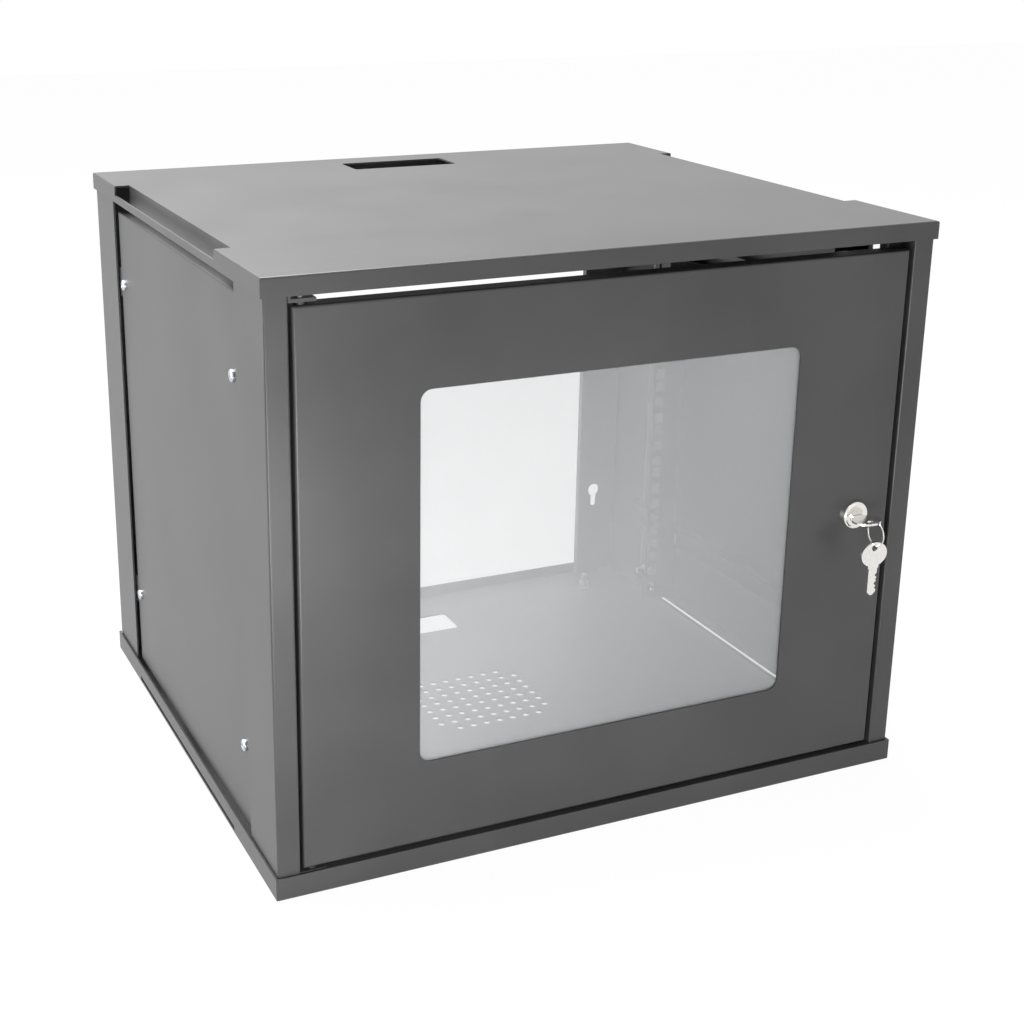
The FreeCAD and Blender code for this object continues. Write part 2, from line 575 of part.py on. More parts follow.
def cam_screw():
    y = CAM_FRONT + CAM_THICK
    return rod(LOCK_X, y, LOCK_Z, (0, 1, 0), WASHER_DIA / 2, WASHER_THICK).fuse(
        rod(LOCK_X, y + WASHER_THICK, LOCK_Z, (0, 1, 0), SCREW_HEAD_DIA / 2, SCREW_HEAD)).removeSplitter()


def key_blank():
    """Flat key in the XY plane: blade along +Y from the origin, bow towards -Y."""
    half_t = KEY_THICK / 2
    half = KEY_BLADE / 2
    point = KEY_BLADE_LENGTH - half * 0.7
    outline = [(-half, -KEY_SHOULDER), (half, -KEY_SHOULDER), (half, point), (half * 0.3, KEY_BLADE_LENGTH),
               (-half * 0.3, KEY_BLADE_LENGTH), (-half, point)]
    corners = [Vector(x, y, -half_t) for x, y in outline]
    blade = Part.Face(Part.makePolygon(corners + corners[:1])).extrude(Vector(0, 0, KEY_THICK))
    bow_y = -KEY_SHOULDER - KEY_BOW_LENGTH / 2
    oval = Part.Ellipse(Vector(0, bow_y, -half_t), KEY_BOW_WIDTH / 2, KEY_BOW_LENGTH / 2).toShape()
    bow = Part.Face(Part.Wire([oval])).extrude(Vector(0, 0, KEY_THICK))
    neck = box(-KEY_SHOULDER_WIDTH / 2, KEY_SHOULDER_WIDTH / 2, bow_y, 0, -half_t, half_t)
    key = blade.fuse([bow, neck]).removeSplitter()
    eye_y = -KEY_SHOULDER - KEY_BOW_LENGTH + KEY_EYE_INSET
    cuts = [rod(0, eye_y, -half_t - 1, (0, 0, 1), KEY_EYE_DIA / 2, KEY_THICK + 2)]
    for from_tip, depth in KEY_CUTS:
        y = KEY_BLADE_LENGTH - from_tip
        vee = [Vector(half + 0.5, y - depth - 0.5, -half_t - 1), Vector(half - depth, y, -half_t - 1),
               Vector(half + 0.5, y + depth + 0.5, -half_t - 1)]
        cuts.append(Part.Face(Part.makePolygon(vee + vee[:1])).extrude(Vector(0, 0, KEY_THICK + 2)))
    return key.cut(cuts)


def key_in_lock():
    key = key_blank()
    key.translate(Vector(LOCK_X, BLADE_FACE, LOCK_Z))
    return key


def spare_key():
    """The second key hangs from the ring, bow up and flat to the front."""
    key = key_blank()
    key.rotate(Vector(0, 0, 0), Vector(1, 0, 0), -90)
    eye_rise = KEY_SHOULDER + KEY_BOW_LENGTH - KEY_EYE_INSET
    key.translate(Vector(LOCK_X, RING_Y, SPARE_EYE_Z - eye_rise))
    return key


def key_ring():
    return Part.makeTorus(RING_RADIUS, RING_WIRE / 2, Vector(LOCK_X, RING_Y, RING_Z), Vector(1, 0, 0))


# ---- small fittings -----------------------------------------------------
def earth_stud(x, y, z, direction):
    """Earthing stud with its washer and nut, standing on a sheet."""
    stud = rod(x, y, z, direction, BOLT_DIA / 2, EARTH_STUD_LENGTH)
    washer = rod(x, y, z, direction, WASHER_DIA / 2, WASHER_THICK)
    a, b, c = [p + d * WASHER_THICK for p, d in zip((x, y, z), direction)]
    nut = hexagon(a, b, c, direction, NUT_FLATS, NUT_THICK)
    return stud.fuse([washer, nut]).removeSplitter()


def earth_studs():
    panel_y, panel_z = PANEL_BACK - PANEL_EARTH_IN, PANEL_BOTTOM + PANEL_EARTH_UP
    left = earth_stud(PANEL_IN, panel_y, panel_z, (1, 0, 0))
    return [earth_stud(RIGHT - BASE_EARTH_X, BACK - BASE_EARTH_BACK, SHEET, (0, 0, 1)), left, mirrored(left)]


def door_buffers():
    """Rubber dots on the rebate lip that the closed door rests against."""
    x = OPEN_RIGHT - LOCK_LIP / 2
    y0 = DOOR_BACK + SEAT_GAP
    return [rod(x, y0, z, (0, 1, 0), BUFFER_DIA / 2, LIP_FRONT - y0)
            for z in (DOOR_BOTTOM + BUFFER_FROM_END, DOOR_TOP - BUFFER_FROM_END)]


# ---- the nodes ----------------------------------------------------------
def main():
    save("base_tray", base_tray())
    save("top_tray", top_tray())
    save("hinge_post", front_post(HINGE_RETURN, 0))
    save("lock_post", mirrored(front_post(LOCK_RETURN, LOCK_LIP)))
    post, panel = rear_post(), side_panel()
    bolts, nuts = rail_bolts()
    screws = panel_screws()
    for side, turn in (("left", lambda s: s), ("right", mirrored)):
        save("rear_post_" + side, turn(post))
        save("side_panel_" + side, turn(panel))
        for place, z in zip(("lower", "upper"), BAR_HEIGHTS):
            save("side_bar_" + place + "_" + side, turn(side_bar(z)))
        save("rack_rail_front_" + side, turn(rail(FRONT_RAIL_Y)))
        save("rack_rail_rear_" + side, turn(rail(REAR_RAIL_Y)))
        save("panel_screws_" + side, [turn(s) for s in screws])
    save("rail_bolts", bolts + [mirrored(b) for b in bolts])
    save("rail_nuts", nuts + [mirrored(n) for n in nuts])
    save("door_shell", door_shell())
    save("window_pane", window_pane())
    pane_studs, pane_nuts = pane_fixings()
    save("pane_studs", pane_studs)
    save("pane_nuts", pane_nuts)
    save("hinge_bracket_top", hinge_bracket(TOP_TAB, True))
    save("hinge_bracket_bottom", hinge_bracket(LOW_TAB, False))
    top_reach = TOP_TAB + HINGE_TAB - DOOR_TOP + SHEET + PIN_PROUD
    save("hinge_pin_top", hinge_pin(DOOR_TOP - SHEET - PIN_HEAD, top_reach))
    save("hinge_pin_bottom", hinge_pin(LOW_TAB - PIN_HEAD, DOOR_BOTTOM + SHEET + PIN_STAND - LOW_TAB))
    save("hinge_washer_top", hinge_washer(DOOR_TOP))
    save("hinge_washer_bottom", hinge_washer(LOW_TAB + HINGE_TAB))
    save("lock_housing", lock_housing())
    save("lock_nut", lock_nut())
    save("lock_plug", lock_plug())
    save("lock_cam", lock_cam())
    save("cam_screw", cam_screw())
    save("key_in_lock", key_in_lock())
    save("key_ring", key_ring())
    save("spare_key", spare_key())
    save("earth_studs", earth_studs())
    save("door_buffers", door_buffers())


main()
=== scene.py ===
"""Wall mount network cabinet: finishes, fastenings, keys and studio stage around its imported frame."""
import math

import bmesh
import bpy
from mathutils import Matrix, Vector


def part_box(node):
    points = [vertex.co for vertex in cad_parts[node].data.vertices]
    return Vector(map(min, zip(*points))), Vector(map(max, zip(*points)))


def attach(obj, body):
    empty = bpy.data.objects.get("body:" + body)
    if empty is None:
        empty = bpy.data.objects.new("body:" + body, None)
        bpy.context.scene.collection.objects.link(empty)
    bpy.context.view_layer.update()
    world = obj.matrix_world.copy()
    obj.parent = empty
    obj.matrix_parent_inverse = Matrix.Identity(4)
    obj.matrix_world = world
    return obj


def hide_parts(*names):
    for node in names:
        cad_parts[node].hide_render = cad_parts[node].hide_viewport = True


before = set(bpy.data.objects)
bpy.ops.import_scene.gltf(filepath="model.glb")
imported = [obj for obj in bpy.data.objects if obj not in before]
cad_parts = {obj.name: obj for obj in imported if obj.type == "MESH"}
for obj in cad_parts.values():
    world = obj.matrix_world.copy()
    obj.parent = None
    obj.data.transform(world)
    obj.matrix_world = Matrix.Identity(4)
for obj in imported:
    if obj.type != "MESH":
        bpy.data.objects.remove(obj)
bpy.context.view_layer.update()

MM = 0.001
WELD = 0.0001 * MM                   # vertices nearer than this are one
SMOOTH_BELOW = math.radians(32)      # sharper edges stay crisp

bl_info = {
    "name": "Wall Mount Network Cabinet",
    "version": (1, 0, 0),
    "blender": (4, 5, 0),
    "location": "View3D > Sidebar > Cabinet",
    "description": "Finishes, fastenings, keys and stage of a windowed wall mount network cabinet",
    "category": "Object",
}


# ---- helpers ------------------------------------------------------------
def linear(hex_colour):
    """The linear colour of an sRGB hex value."""
    channels = [int(hex_colour[i:i + 2], 16) / 255 for i in (1, 3, 5)]
    return tuple(c / 12.92 if c <= 0.04045 else ((c + 0.055) / 1.055) ** 2.4 for c in channels)


def corners(node):
    """The low and high corners of a CAD node's box."""
    low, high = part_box(node)
    return Vector(low), Vector(high)


def add_node(tree, kind, settings=None, links=None):
    """Adds a shader node. Settings set attributes or sockets, and links join a socket to one given."""
    node = tree.nodes.new(kind)
    for name, value in (settings or {}).items():
        if hasattr(node, name):
            setattr(node, name, value)
        else:
            node.inputs[name].default_value = value
    for name, source in (links or {}).items():
        tree.links.new(source, node.inputs[name])
    return node


def new_material(name):
    """An empty node material and its tree."""
    material = bpy.data.materials.new(name)
    material.use_nodes = True
    material.node_tree.nodes.clear()
    return material, material.node_tree


def finish_surface(tree, shader):
    """Joins a shader to the material's output."""
    add_node(tree, "ShaderNodeOutputMaterial", links={"Surface": shader.outputs[0]})


def grain(tree, size_mm, stretch=(1, 1, 1), detail=3.0):
    """Noise with features of a real size, on the object's own coordinates."""
    place = add_node(tree, "ShaderNodeTexCoord")
    mapping = add_node(tree, "ShaderNodeMapping", {"Scale": stretch}, {"Vector": place.outputs["Object"]})
    return add_node(tree, "ShaderNodeTexNoise", {"Scale": 1 / (size_mm * MM), "Detail": detail},
                    {"Vector": mapping.outputs["Vector"]})


def ramp(tree, factor, low, high, start=0.3, end=0.7):
    """Spreads a 0 to 1 pattern between two colours."""
    node = add_node(tree, "ShaderNodeValToRGB", links={"Fac": factor})
    node.color_ramp.elements[0].position = start
    node.color_ramp.elements[1].position = end
    node.color_ramp.elements[0].color = (*low, 1)
    node.color_ramp.elements[1].color = (*high, 1)
    return node


def spread(tree, factor, low, high):
    """Maps a 0 to 1 pattern to a range of numbers."""
    return add_node(tree, "ShaderNodeMapRange", {"To Min": low, "To Max": high}, {"Value": factor})


def bump(tree, height, strength, depth_mm):
    """Relief of a real depth from a 0 to 1 pattern."""
    return add_node(tree, "ShaderNodeBump", {"Strength": strength, "Distance": depth_mm * MM},
                    {"Height": height})


def coat(nodes, material):
    """Gives CAD nodes a material, keeping their meshes."""
    for name in nodes:
        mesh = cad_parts[name].data
        mesh.materials.clear()
        mesh.materials.append(material)


def piece_from(name, mesh, body, material):
    """Makes a mesh a piece at the origin that rides on a body and takes a finish."""
    for polygon in mesh.polygons:
        polygon.use_smooth = True
    mesh.set_sharp_from_angle(angle=SMOOTH_BELOW)
    mesh.materials.clear()
    mesh.materials.append(material)
    piece = bpy.data.objects.new(name, mesh)
    bpy.context.scene.collection.objects.link(piece)
    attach(piece, body)
    return piece


def mesh_from(bm, name):
    """Turns a bmesh into a mesh and frees it."""
    mesh = bpy.data.meshes.new(name)
    bm.to_mesh(mesh)
    bm.free()
    return mesh


def closed_mesh_from(bm, name):
    """The same for a spun form, whose seam is welded and whose faces are turned outwards."""
    bmesh.ops.remove_doubles(bm, verts=bm.verts, dist=WELD)
    bmesh.ops.recalc_face_normals(bm, faces=bm.faces)
    return mesh_from(bm, name)


# ---- finishes -----------------------------------------------------------
def powder_coat(settings):
    """Black epoxy-polyester powder, baked on sheet steel: satin, with a fine orange peel."""
    material, tree = new_material("satin_black_powder_coat")
    peel = grain(tree, 3.2)          # real peel is about 1.5 mm; drawn coarser so that it shows
    cloud = grain(tree, 90.0)
    tint = ramp(tree, cloud.outputs["Fac"], settings.powder_dark, settings.powder_light)
    rough = settings.powder_roughness
    sheen = spread(tree, cloud.outputs["Fac"], rough - 0.03, rough + 0.03)
    relief = bump(tree, peel.outputs["Fac"], 0.10, 0.12)
    shader = add_node(tree, "ShaderNodeBsdfPrincipled", {"IOR": 1.5},
                      {"Base Color": tint.outputs["Color"], "Roughness": sheen.outputs["Result"],
                       "Normal": relief.outputs["Normal"]})
    finish_surface(tree, shader)
    return material


def zinc_plate(settings):
    """Bright zinc on steel fixings: blue-white, slightly cloudy from the bath."""
    material, tree = new_material("bright_zinc_plated_steel")
    cloud = grain(tree, 2.5)
    tint = ramp(tree, cloud.outputs["Fac"], linear("#a9adb2"), settings.zinc)
    rough = spread(tree, cloud.outputs["Fac"], 0.26, 0.40)
    shader = add_node(tree, "ShaderNodeBsdfPrincipled", {"Metallic": 1.0},
                      {"Base Color": tint.outputs["Color"], "Roughness": rough.outputs["Result"]})
    finish_surface(tree, shader)
    return material


def nickel_plate(name, colour, low, high, brushed):
    """Bright nickel, its roughness from low to high: mirror-like, with fine handling lines."""
    material, tree = new_material(name)
    lines = grain(tree, 0.8, stretch=brushed)
    tint = ramp(tree, lines.outputs["Fac"], tuple(c * 0.86 for c in colour), colour)
    rough = spread(tree, lines.outputs["Fac"], low, high)
    relief = bump(tree, lines.outputs["Fac"], 0.06, 0.02)
    shader = add_node(tree, "ShaderNodeBsdfPrincipled", {"Metallic": 1.0},
                      {"Base Color": tint.outputs["Color"], "Roughness": rough.outputs["Result"],
                       "Normal": relief.outputs["Normal"]})
    finish_surface(tree, shader)
    return material


def acrylic_with_film_and_painted_reflection(settings):
    """Clear cast acrylic still in its protective film, with long soft creases. Its milky tone is partly the
    real film and partly a painted reflection of the bright room on the sheet.
    """
    material, tree = new_material("acrylic_sheet_with_film")
    creases = grain(tree, 60.0, stretch=(1.0, 1.0, 0.25), detail=1.0)
    clouding = grain(tree, 140.0, detail=2.0)
    # painted reflection: the film's tone and haze also stand in for the sheet's reflection of the bright room
    hidden = settings.film_and_painted_reflection_haze
    haze = spread(tree, clouding.outputs["Fac"], hidden - 0.04, hidden + 0.04)
    relief = bump(tree, creases.outputs["Fac"], 0.25, 0.8)
    shader = add_node(tree, "ShaderNodeBsdfPrincipled",
                      {"Base Color": (*settings.film_and_painted_reflection, 1), "IOR": 1.49, "Roughness": 0.22},
                      {"Alpha": haze.outputs["Result"], "Normal": relief.outputs["Normal"]})
    finish_surface(tree, shader)
    return material


def moulded_nylon():
    """Black nylon, injection moulded: waxy, with a slight mottle."""
    material, tree = new_material("black_moulded_nylon")
    mottle = grain(tree, 1.5)
    tint = ramp(tree, mottle.outputs["Fac"], linear("#1c1c1c"), linear("#272727"))
    shader = add_node(tree, "ShaderNodeBsdfPrincipled", {"IOR": 1.53, "Roughness": 0.45},
                      {"Base Color": tint.outputs["Color"]})
    finish_surface(tree, shader)
    return material


def moulded_rubber():
    """Black natural rubber dots: matt, with a trace of bloom."""
    material, tree = new_material("black_moulded_rubber")
    bloom = grain(tree, 1.2)
    tint = ramp(tree, bloom.outputs["Fac"], linear("#161616"), linear("#242423"))
    shader = add_node(tree, "ShaderNodeBsdfPrincipled", {"IOR": 1.52, "Roughness": 0.8},
                      {"Base Color": tint.outputs["Color"]})
    finish_surface(tree, shader)
    return material


# ---- sizes and colours that a user may change ---------------------------
class CabinetFinishes(bpy.types.PropertyGroup):
    powder_dark: bpy.props.FloatVectorProperty(
        name="Powder coat, dark", description="Darker tone of the powder coat's slow variation",
        subtype="COLOR", default=linear("#2f2f30"))
    powder_light: bpy.props.FloatVectorProperty(
        name="Powder coat, light", description="Lighter tone of the powder coat's slow variation",
        subtype="COLOR", default=linear("#373738"))
    powder_roughness: bpy.props.FloatProperty(
        name="Powder coat roughness", description="Satin of the powder coat", default=0.37, min=0.1, max=1.0)
    zinc: bpy.props.FloatVectorProperty(
        name="Zinc", description="Lighter tone of the zinc plated fixings", subtype="COLOR",
        default=linear("#cfd2d6"))
    nickel: bpy.props.FloatVectorProperty(
        name="Nickel", description="Tone of the lock, keys and ring", subtype="COLOR",
        default=linear("#eceae6"))
    # the film's tone and haze are partly the real protective film and partly a painted reflection of the
    # bright room on the window
    film_and_painted_reflection: bpy.props.FloatVectorProperty(
        name="Film", description="Tone of the film on the window", subtype="COLOR", default=linear("#a9abac"))
    film_and_painted_reflection_haze: bpy.props.FloatProperty(
        name="Film haze", description="How much of the view the film hides", default=0.37, min=0.0, max=1.0)


class CabinetFittings(bpy.types.PropertyGroup):
    screw_recess: bpy.props.FloatProperty(
        name="Screw recess", description="Width across the cross recess of a panel screw",
        default=4.6 * MM, unit="LENGTH")
    screw_recess_arm: bpy.props.FloatProperty(
        name="Recess arm", description="Width of one arm of the cross", default=1.1 * MM, unit="LENGTH")
    screw_recess_depth: bpy.props.FloatProperty(
        name="Recess depth", description="Depth of the cross recess", default=1.6 * MM, unit="LENGTH")
    head_radius: bpy.props.FloatProperty(
        name="Head radius", description="Radius of a panel screw's pan head",
        default=4.75 * MM, unit="LENGTH")
    head_height: bpy.props.FloatProperty(
        name="Head height", description="Height of a panel screw's pan head",
        default=2.8 * MM, unit="LENGTH")
    shank_radius: bpy.props.FloatProperty(
        name="Shank radius", description="Radius of a panel screw's thread",
        default=2.5 * MM, unit="LENGTH")
    ring_split: bpy.props.FloatProperty(
        name="Ring gap", description="Gap between the two turns of the key ring",
        default=0.06 * MM, unit="LENGTH")


STEEL = ("base_tray", "top_tray", "hinge_post", "lock_post", "rear_post_left", "rear_post_right",
         "side_panel_left", "side_panel_right", "side_bar_lower_left", "side_bar_upper_left",
         "side_bar_lower_right", "side_bar_upper_right", "rack_rail_front_left", "rack_rail_rear_left",
         "rack_rail_front_right", "rack_rail_rear_right", "door_shell", "hinge_bracket_top",
         "hinge_bracket_bottom")
ZINC = ("rail_bolts", "rail_nuts", "pane_studs", "pane_nuts", "hinge_pin_top", "hinge_pin_bottom",
        "earth_studs", "lock_nut", "lock_cam", "cam_screw")


class CABINET_OT_coat_steel(bpy.types.Operator):
    """Powder coat the trays, posts, panels, rails and door"""
    bl_idname = "cabinet.coat_steel"
    bl_label = "Coat Steel"

    def execute(self, context):
        coat(STEEL, powder_coat(context.scene.cabinet_finishes))
        return {"FINISHED"}


class CABINET_OT_plate_fixings(bpy.types.Operator):
    """Zinc plate the bolts, studs, nuts and hinge pins, and finish the washers and buffers"""
    bl_idname = "cabinet.plate_fixings"
    bl_label = "Plate Fixings"

    def execute(self, context):
        coat(ZINC, zinc_plate(context.scene.cabinet_finishes))
        coat(("hinge_washer_top", "hinge_washer_bottom"), moulded_nylon())
        coat(("door_buffers",), moulded_rubber())
        return {"FINISHED"}


class CABINET_OT_glaze_window(bpy.types.Operator):
    """Give the window its clear sheet and milky film, whose tone is partly a painted reflection of the bright
    room
    """
    bl_idname = "cabinet.glaze_window"
    bl_label = "Glaze Window"

    def execute(self, context):
        coat(("window_pane",), acrylic_with_film_and_painted_reflection(context.scene.cabinet_finishes))
        return {"FINISHED"}


# ---- panel screws -------------------------------------------------------
HEAD_SIDES = 40
CROWN_HEIGHT, CROWN_RADIUS = 0.97, 0.45      # rim of the head's crown, as shares of height and radius
CORNER = 0.48                                # its rounded corner, as a share of both
CORNER_HEIGHT = 0.45                         # where the corner's arc is centred, as a share of height
CORNER_TURNS = (70, 52.5, 35, 17.5, 0)       # degrees above the seat
SHANK_SHOWN = 3 * MM
BLADE_TAPER = (1, 0.55, 0.7)                 # the recess narrows to this at its foot
RECESS_TURN = math.radians(20)
TURN_PER_COLUMN, TURN_PER_ROW = 37, 61       # degrees by which one screw differs from the next


def pan_head(fittings):
    """Pan head and shank turned about the X axis, head towards -X from its seat at the origin."""
    bm = bmesh.new()
    radius, height = fittings.head_radius, fittings.head_height
    profile = [Vector((-height, 0, 0)), Vector((-height * CROWN_HEIGHT, radius * CROWN_RADIUS, 0))]
    for turn in map(math.radians, CORNER_TURNS):
        rise = height * (CORNER_HEIGHT + CORNER * math.sin(turn))
        reach = radius * (1 - CORNER + CORNER * math.cos(turn))
        profile.append(Vector((-rise, reach, 0)))
    profile += [Vector((0, radius, 0)), Vector((0, fittings.shank_radius, 0)),
                Vector((SHANK_SHOWN, fittings.shank_radius, 0)), Vector((SHANK_SHOWN, 0, 0))]
    verts = [bm.verts.new(point) for point in profile]
    for a, b in zip(verts, verts[1:]):
        bm.edges.new((a, b))
    bmesh.ops.spin(bm, geom=bm.verts[:] + bm.edges[:], cent=(0, 0, 0), axis=(1, 0, 0),
                   angle=math.tau, steps=HEAD_SIDES, use_merge=True)
    return closed_mesh_from(bm, "pan_head")


def cross_cutter(fittings):
    """Two crossed, tapered blades that sink the recess, their upper halves above the head."""
    bm = bmesh.new()
    blade = (fittings.screw_recess_depth * 2, fittings.screw_recess, fittings.screw_recess_arm)
    for quarter in (0, math.pi / 2):
        made = bmesh.ops.create_cube(bm, size=1.0)["verts"]
        bmesh.ops.scale(bm, vec=blade, verts=made)
        tip = [v for v in made if v.co.x > 0]
        bmesh.ops.scale(bm, vec=BLADE_TAPER, verts=tip)
        bmesh.ops.translate(bm, vec=(-fittings.head_height, 0, 0), verts=made)
        turn = Matrix.Rotation(quarter + RECESS_TURN, 3, "X")
        bmesh.ops.rotate(bm, cent=(0, 0, 0), matrix=turn, verts=made)
    return mesh_from(bm, "cross_cutter")


def recessed_head(fittings):
    """The pan head with its cross recess cut."""
    head = bpy.data.objects.new("head", pan_head(fittings))
    cutter = bpy.data.objects.new("cutter", cross_cutter(fittings))
    for thing in (head, cutter):
        bpy.context.scene.collection.objects.link(thing)
    cut = head.modifiers.new("recess", "BOOLEAN")
    cut.operation = "DIFFERENCE"
    cut.solver = "EXACT"
    cut.use_self = True
    cut.object = cutter
    ready = head.evaluated_get(bpy.context.evaluated_depsgraph_get())
    mesh = bpy.data.meshes.new_from_object(ready)
    for thing in (head, cutter):
        bpy.data.objects.remove(thing)
    return mesh


def screws_of(side, head, fittings, material):
    """Four screws on one side panel, each turned a little differently."""
    low, high = corners("panel_screws_" + side)
    if side == "left":
        seat = low.x + fittings.head_height
    else:
        seat = high.x - fittings.head_height
    inset = fittings.head_radius
    bm = bmesh.new()
    for column, y in enumerate((low.y + inset, high.y - inset)):
        for row, z in enumerate((low.z + inset, high.z - inset)):
            before = set(bm.verts)
            bm.from_mesh(head)
            fresh = [v for v in bm.verts if v not in before]
            degrees = TURN_PER_COLUMN * column + TURN_PER_ROW * row
            turn = Matrix.Rotation(math.radians(degrees), 3, "X")
            bmesh.ops.rotate(bm, cent=(0, 0, 0), matrix=turn, verts=fresh)
            if side == "right":
                bmesh.ops.rotate(bm, cent=(0, 0, 0), matrix=Matrix.Rotation(math.pi, 3, "Z"), verts=fresh)
            bmesh.ops.translate(bm, vec=(seat, y, z), verts=fresh)
    mesh = mesh_from(bm, "panel_screw_set_" + side)
    piece = piece_from("panel_screw_set_" + side, mesh, "cabinet", material)
    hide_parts("panel_screws_" + side)


class CABINET_OT_fit_panel_screws(bpy.types.Operator):
    """Fit the side panels' pan head screws with cross recesses"""
    bl_idname = "cabinet.fit_panel_screws"
    bl_label = "Fit Panel Screws"

    def execute(self, context):
        fittings = context.scene.cabinet_fittings
        head = recessed_head(fittings)
        material = zinc_plate(context.scene.cabinet_finishes)
        material.name = "zinc_plated_panel_screws"
        for side in ("left", "right"):
            screws_of(side, head, fittings, material)
        return {"FINISHED"}


# ---- lock, keys and ring ------------------------------------------------
EVEN = (1, 1, 1)                 # plating with no direction
ALONG_KEY = (1, 0.2, 0.2)        # lines drawn out along a key's blade
WIRE_SIDES = 12
RING_STEPS = 144


class CABINET_OT_plate_lock(bpy.types.Operator):
    """Nickel plate the lock and its keys"""
    bl_idname = "cabinet.plate_lock"
    bl_label = "Plate Lock and Keys"

    def execute(self, context):
        nickel = tuple(context.scene.cabinet_finishes.nickel)
        casting = nickel_plate("nickel_plated_lock_casting", nickel, 0.12, 0.2, EVEN)
        stamping = nickel_plate("nickel_plated_key_brass", nickel, 0.16, 0.3, ALONG_KEY)
        coat(("lock_housing", "lock_plug"), casting)
        coat(("key_in_lock", "spare_key"), stamping)
        return {"FINISHED"}


class CABINET_OT_wind_key_ring(bpy.types.Operator):
    """Wind the two-turn split ring that carries the keys"""
    bl_idname = "cabinet.wind_key_ring"
    bl_label = "Wind Key Ring"

    def execute(self, context):
        low, high = corners("key_ring")
        middle = (low + high) / 2
        wire = high.x - low.x
        radius = (high.y - low.y - wire) / 2
        gap = context.scene.cabinet_fittings.ring_split
        turn_width = (wire - gap) / 2
        bm = bmesh.new()
        made = bmesh.ops.create_circle(bm, segments=WIRE_SIDES, radius=0.5)["verts"]
        bmesh.ops.scale(bm, vec=(turn_width, wire, 1), verts=made)
        start = Vector((low.x + turn_width / 2, middle.y + radius, middle.z))
        bmesh.ops.translate(bm, vec=start, verts=made)
        rise = (wire - turn_width) / RING_STEPS
        bmesh.ops.contextual_create(bm, geom=bm.edges[:])
        bmesh.ops.spin(bm, geom=bm.verts[:] + bm.edges[:] + bm.faces[:], cent=middle, axis=(1, 0, 0),
                       dvec=(rise, 0, 0), angle=2 * math.tau, steps=RING_STEPS)
        mesh = closed_mesh_from(bm, "key_ring_wire")
        nickel = tuple(context.scene.cabinet_finishes.nickel)
        material = nickel_plate("nickel_plated_spring_wire", nickel, 0.14, 0.24, EVEN)
        piece = piece_from("split_key_ring", mesh, "ring", material)
        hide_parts("key_ring")
        return {"FINISHED"}


# ---- stage --------------------------------------------------------------
PAPER_REACH = 6.0                # half the paper's width, in metres
PAPER_DROP = 0.5 * MM            # the paper lies this far below the base
CAMERA_NEAR = 0.05
SOFT_BOXES = (                   # each one's name, place, aim and width; its power is a setting
    ("overhead", (-0.3, 0.75, 2.2), (0, 0.1, 0.3), 1.8),
    ("front", (0.6, -2.4, 1.2), (0, 0, 0.25), 1.6),
    ("low_front", (-0.3, -0.78, 0.05), (-0.1, -0.24, 0.05), 0.35),
    ("side", (-2.1, 0.55, 0.3), (-0.27, 0.05, 0.1), 1.4),
)


class CabinetStage(bpy.types.PropertyGroup):
    camera_place: bpy.props.FloatVectorProperty(
        name="Camera", description="Where the camera stands", subtype="XYZ", unit="LENGTH",
        default=(-0.5999, -1.2631, 0.6964))
    camera_azimuth: bpy.props.FloatProperty(
        name="Azimuth", description="Camera's turn to the right",
        subtype="ANGLE", default=math.radians(24.10))
    camera_drop: bpy.props.FloatProperty(
        name="Drop", description="How far the camera looks down",
        subtype="ANGLE", default=math.radians(18.04))
    camera_roll: bpy.props.FloatProperty(
        name="Roll", description="Camera's roll", subtype="ANGLE", default=math.radians(0.40))
    lens: bpy.props.FloatProperty(name="Lens", description="Focal length in millimetres", default=59.10)
    shift_x: bpy.props.FloatProperty(name="Shift X", description="Sideways lens shift", default=0.0648)
    shift_y: bpy.props.FloatProperty(name="Shift Y", description="Upward lens shift", default=-0.0604)
    overhead: bpy.props.FloatProperty(
        name="Overhead light", description="Power of the soft box above", default=165.0)
    front: bpy.props.FloatProperty(
        name="Front light", description="Power of the soft box in front", default=2.5)
    low_front: bpy.props.FloatProperty(
        name="Low front light", description="Power of the low soft box that lifts the door's foot",
        default=6.0)
    side: bpy.props.FloatProperty(
        name="Side light", description="Power of the soft box at the left", default=62.0)
    room: bpy.props.FloatProperty(
        name="Room light", description="Strength of the room's own light", default=0.45)
    paper_glow: bpy.props.FloatProperty(
        name="Paper glow", description="How much of the paper's white hides its shadows", default=0.97)


def is_seen_directly(tree):
    """1 for camera, glossy and transmission rays, 0 for the rays that light things."""
    path = add_node(tree, "ShaderNodeLightPath")
    seen = path.outputs["Is Camera Ray"]
    for kind in ("Is Glossy Ray", "Is Transmission Ray"):
        either = add_node(tree, "ShaderNodeMath", {"operation": "MAXIMUM"})
        tree.links.new(seen, either.inputs[0])
        tree.links.new(path.outputs[kind], either.inputs[1])
        seen = either.outputs[0]
    return seen


def white_paper(glow):
    """Seamless white paper: seen as white, with a trace of the shadow that falls on it."""
    material, tree = new_material("white_studio_paper")
    fibre = grain(tree, 8.0)
    tone = ramp(tree, fibre.outputs["Fac"], linear("#f6f6f6"), linear("#fdfdfd"))
    paper = add_node(tree, "ShaderNodeBsdfPrincipled", {"Roughness": 0.9},
                     {"Base Color": tone.outputs["Color"]})
    light = add_node(tree, "ShaderNodeEmission", {"Color": (1, 1, 1, 1), "Strength": 1.0})
    amount = add_node(tree, "ShaderNodeMath", {"operation": "MULTIPLY"})
    tree.links.new(is_seen_directly(tree), amount.inputs[0])
    amount.inputs[1].default_value = glow
    blend = add_node(tree, "ShaderNodeMixShader", links={"Fac": amount.outputs[0]})
    tree.links.new(paper.outputs[0], blend.inputs[1])
    tree.links.new(light.outputs[0], blend.inputs[2])
    finish_surface(tree, blend)
    return material


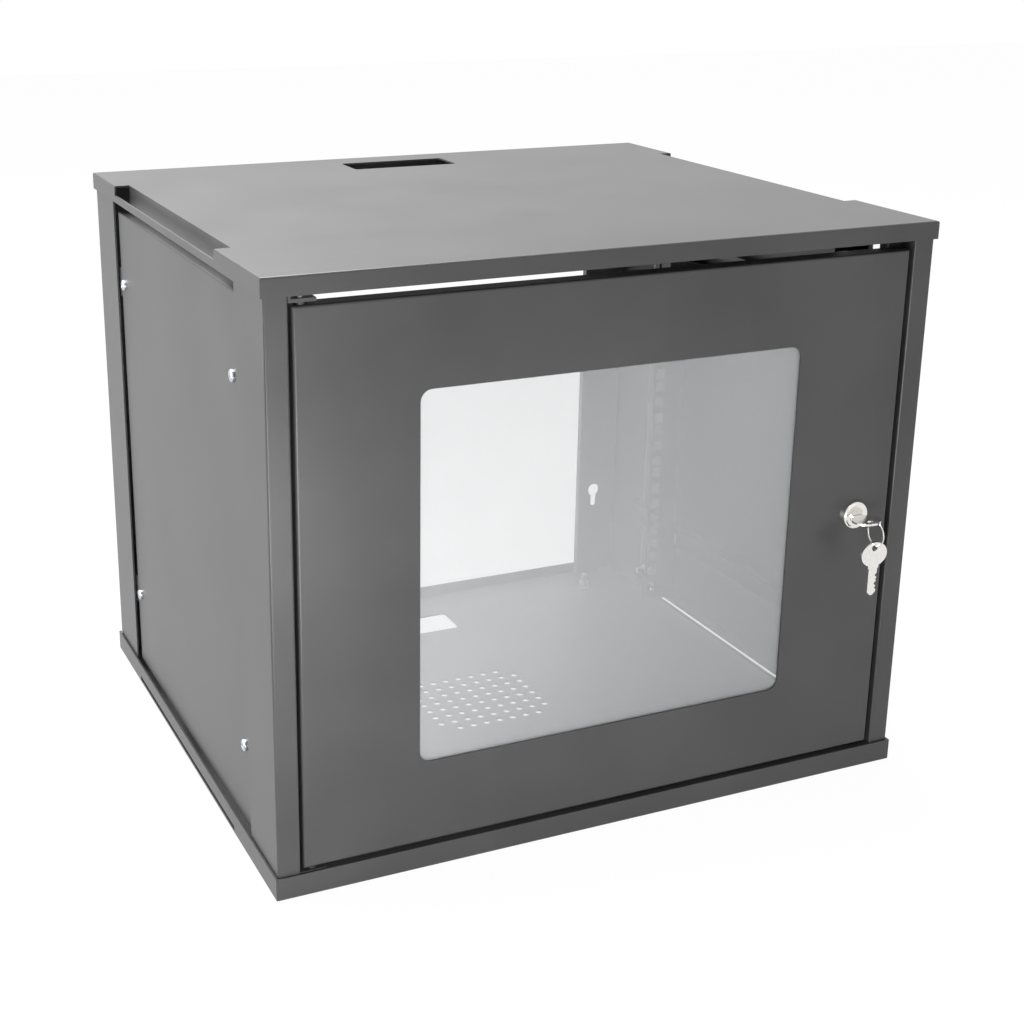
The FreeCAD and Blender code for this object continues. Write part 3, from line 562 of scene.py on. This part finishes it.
def white_room(strength):
    """A room that is seen as white, and lights things with the strength given."""
    world = bpy.data.worlds.new("white_room")
    bpy.context.scene.world = world
    world.use_nodes = True
    tree = world.node_tree
    tree.nodes.clear()
    level = spread(tree, is_seen_directly(tree), strength, 1.0)
    ground = add_node(tree, "ShaderNodeBackground", {"Color": (1, 1, 1, 1)},
                      {"Strength": level.outputs["Result"]})
    add_node(tree, "ShaderNodeOutputWorld", links={"Surface": ground.outputs[0]})


def soft_box(name, place, aim, width, power):
    """A square area light turned to its aim."""
    data = bpy.data.lights.new(name, "AREA")
    data.shape = "SQUARE"
    data.size = width
    data.energy = power
    lamp = bpy.data.objects.new(name, data)
    lamp.location = place
    lamp.rotation_euler = (Vector(aim) - Vector(place)).to_track_quat("-Z", "Y").to_euler()
    bpy.context.scene.collection.objects.link(lamp)


def stand_camera(stage):
    """Places the camera, turned by azimuth, then drop, then roll."""
    azimuth, drop, roll = stage.camera_azimuth, stage.camera_drop, stage.camera_roll
    ahead = Vector((math.sin(azimuth) * math.cos(drop), math.cos(azimuth) * math.cos(drop), -math.sin(drop)))
    right = Vector((math.cos(azimuth), -math.sin(azimuth), 0))
    up = right.cross(ahead)
    across = right * math.cos(roll) + up * math.sin(roll)
    rise = up * math.cos(roll) - right * math.sin(roll)
    data = bpy.data.cameras.new("camera")
    data.sensor_width = 36.0
    data.lens = stage.lens
    data.shift_x = stage.shift_x
    data.shift_y = stage.shift_y
    data.clip_start = CAMERA_NEAR
    camera = bpy.data.objects.new("camera", data)
    turn = Matrix((across, rise, -ahead)).transposed().to_4x4()
    camera.matrix_world = Matrix.Translation(Vector(stage.camera_place)) @ turn
    bpy.context.scene.collection.objects.link(camera)
    bpy.context.scene.camera = camera


class CABINET_OT_set_stage(bpy.types.Operator):
    """Lay the white paper, place the lights and stand the camera"""
    bl_idname = "cabinet.set_stage"
    bl_label = "Set Stage"

    def execute(self, context):
        stage = context.scene.cabinet_stage
        bm = bmesh.new()
        bmesh.ops.create_grid(bm, x_segments=1, y_segments=1, size=PAPER_REACH)
        mesh = mesh_from(bm, "paper_floor")
        mesh.materials.append(white_paper(stage.paper_glow))
        floor = bpy.data.objects.new("paper_floor", mesh)
        floor.location.z = -PAPER_DROP
        context.scene.collection.objects.link(floor)
        white_room(stage.room)
        for name, place, aim, width in SOFT_BOXES:
            soft_box(name + "_box", place, aim, width, getattr(stage, name))
        stand_camera(stage)
        context.scene.view_settings.view_transform = "Standard"
        return {"FINISHED"}


OPERATORS = (CABINET_OT_coat_steel, CABINET_OT_plate_fixings, CABINET_OT_glaze_window,
             CABINET_OT_fit_panel_screws, CABINET_OT_plate_lock, CABINET_OT_wind_key_ring,
             CABINET_OT_set_stage)
GROUPS = {"cabinet_finishes": CabinetFinishes, "cabinet_fittings": CabinetFittings,
          "cabinet_stage": CabinetStage}


class CABINET_PT_build(bpy.types.Panel):
    """The cabinet's steps, in building order"""
    bl_idname = "CABINET_PT_build"
    bl_label = "Network Cabinet"
    bl_space_type = "VIEW_3D"
    bl_region_type = "UI"
    bl_category = "Cabinet"

    def draw(self, context):
        for step in OPERATORS:
            self.layout.operator(step.bl_idname)


def register():
    for group in GROUPS.values():
        bpy.utils.register_class(group)
    for name, group in GROUPS.items():
        setattr(bpy.types.Scene, name, bpy.props.PointerProperty(type=group))
    for thing in (*OPERATORS, CABINET_PT_build):
        bpy.utils.register_class(thing)


def unregister():
    for thing in (CABINET_PT_build, *reversed(OPERATORS)):
        bpy.utils.unregister_class(thing)
    for name in GROUPS:
        delattr(bpy.types.Scene, name)
    for group in GROUPS.values():
        bpy.utils.unregister_class(group)


def main():
    """Runs every step in order."""
    register()
    for step in OPERATORS:
        family, name = step.bl_idname.split(".")
        getattr(getattr(bpy.ops, family), name)()


if __name__ == "__main__":
    main()
